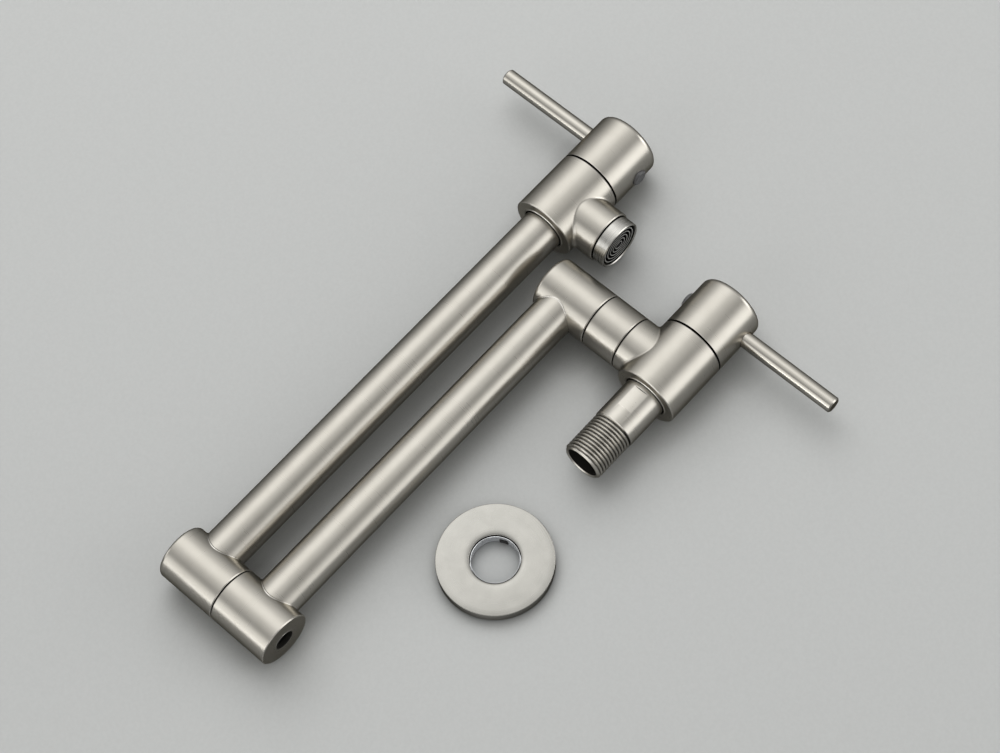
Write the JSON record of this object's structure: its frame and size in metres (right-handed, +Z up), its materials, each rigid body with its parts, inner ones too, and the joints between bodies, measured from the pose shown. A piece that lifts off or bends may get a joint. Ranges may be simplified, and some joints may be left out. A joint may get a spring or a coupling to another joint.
{
  "type": "folding wall-mounted kitchen tap",
  "caption": "Folding wall-mounted kitchen tap: two swinging tube arms, a lever valve at each end, a threaded inlet and a loose round cover plate.",
  "frame": {"origin": "centre of the plane where the inlet thread ends and its smooth neck begins", "axes": "+Z up along both swivel pivots, +X away from the wall along the inlet valve, -X into the wall, -Y towards the picture's camera"},
  "size_m": [0.3059, 0.0332, 0.2314],
  "materials": {
    "satin_nickel": "satin nickel plating",
    "brass": "turned",
    "steel": "plain steel",
    "rubber": "matt",
    "ceramic": "lapped ceramic",
    "chrome": "bright",
    "dark_plastic": "matt black",
    "aerator_resin": "moulded grey"
  },
  "bodies": {
    "inlet": {"inlet_valve_body": "satin_nickel", "inlet_nipple": "satin_nickel", "nipple_ring": "rubber", "inlet_seat_ring": "rubber", "inlet_fixed_disc": "ceramic", "inlet_cartridge": "brass", "swivel_spindle": "brass", "swivel_lower_ring": "rubber", "swivel_upper_ring": "rubber", "collar_washer": "dark_plastic", "swivel_collar": "satin_nickel", "swivel_washer": "dark_plastic"},
    "cover_plate": {"escutcheon_plate": "satin_nickel", "escutcheon_liner": "chrome", "escutcheon_tab": "dark_plastic", "escutcheon_gasket": "rubber"},
    "inlet_handle": {"inlet_cap": "satin_nickel", "inlet_lever": "satin_nickel", "inlet_plug": "dark_plastic", "inlet_set_screw": "steel", "inlet_stem": "brass", "inlet_stem_ring": "rubber", "inlet_moving_disc": "ceramic"},
    "inner_arm": {"elbow_barrel": "satin_nickel", "elbow_screw": "steel", "inner_tube": "satin_nickel", "lower_barrel": "satin_nickel"},
    "outer_arm": {"upper_barrel": "satin_nickel", "knuckle_spindle": "brass", "knuckle_base_ring": "rubber", "knuckle_lower_ring": "rubber", "knuckle_upper_ring": "rubber", "knuckle_washer": "dark_plastic", "knuckle_screw": "steel", "outer_tube": "satin_nickel", "outlet_valve_body": "satin_nickel", "outlet_seat_ring": "rubber", "outlet_fixed_disc": "ceramic", "outlet_cartridge": "brass", "aerator_washer": "rubber", "aerator_housing": "satin_nickel", "aerator_insert": "aerator_resin"},
    "outlet_handle": {"outlet_cap": "satin_nickel", "outlet_lever": "satin_nickel", "outlet_plug": "dark_plastic", "outlet_set_screw": "steel", "outlet_stem": "brass", "outlet_stem_ring": "rubber", "outlet_moving_disc": "ceramic"}
  },
  "joints": [
    {"name": "inner_arm_swing", "type": "hinge", "parent": "inlet", "child": "inner_arm", "pos_m": [0.03835, 0, 0.05963], "axis": [0, 0, 1], "continuous": true},
    {"name": "outer_arm_swing", "type": "hinge", "parent": "inner_arm", "child": "outer_arm", "pos_m": [-0.1717, 0, 0.07596], "axis": [0, 0, 1], "continuous": true},
    {"name": "inlet_handle_turn", "type": "hinge", "parent": "inlet", "child": "inlet_handle", "pos_m": [0.07405, 0, 0], "axis": [1, 0, 0], "range_deg": [-90, 0]},
    {"name": "outlet_handle_turn", "type": "hinge", "parent": "outer_arm", "child": "outlet_handle", "pos_m": [0.10945, 0, 0.09363], "axis": [1, 0, 0], "range_deg": [0, 90]},
    {"name": "cover_plate_lift", "type": "slide", "parent": "inlet", "child": "cover_plate", "axis": [0, -1, 0], "range_m": [0, 0.06]}
  ]
}
